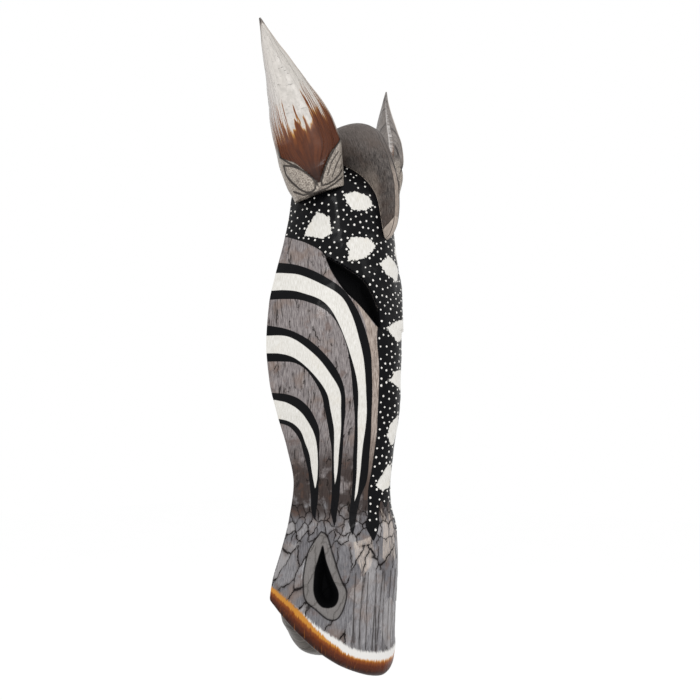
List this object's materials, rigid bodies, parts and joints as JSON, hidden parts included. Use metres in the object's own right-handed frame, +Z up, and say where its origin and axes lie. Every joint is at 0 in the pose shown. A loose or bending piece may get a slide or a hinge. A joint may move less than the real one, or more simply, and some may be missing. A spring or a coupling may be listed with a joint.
{
  "type": "carved animal wall mask",
  "caption": "Hand-carved, painted wooden zebra-style wall mask with pegged ears and forelock, a hollowed back and a swinging steel hanging ring.",
  "frame": {"origin": "on the flat back that lies on the wall, on the centre line, between the hollow and the hanger recess", "axes": "+Z up the mask towards the ears, +Y into the wall, the face looks along -Y, +X to the right seen from the front"},
  "size_m": [0.1732, 0.079, 0.5082],
  "materials": {
    "head_paint": "grey crackle paint with black and white stripes, black dotted brow and gloss varnish",
    "ear_paint": "grey wood wash, off-white face with burnt brown base, gloss varnish",
    "forelock_stain": "dark grey-brown stain, hatched grain, satin varnish",
    "dowel_wood": "bare hardwood dowel",
    "hanger_steel": "zinc-plated pressed steel",
    "screw_steel": "zinc-plated screws"
  },
  "bodies": {
    "mask": {"head": "head_paint", "forelock": "forelock_stain", "ear_left": "ear_paint", "ear_right": "ear_paint", "ear_peg_left": "dowel_wood", "ear_peg_right": "dowel_wood", "forelock_peg_lower": "dowel_wood", "forelock_peg_upper": "dowel_wood", "hanger_strap": "hanger_steel", "hanger_screw_upper": "screw_steel", "hanger_screw_lower": "screw_steel"},
    "ring": {"hanger_ring": "hanger_steel"}
  },
  "joints": [
    {"name": "ring_swing", "type": "hinge", "parent": "mask", "child": "ring", "pos_m": [0, -0.00345, 0.056], "axis": [1, 0, 0], "range_deg": [0, 180]}
  ]
}
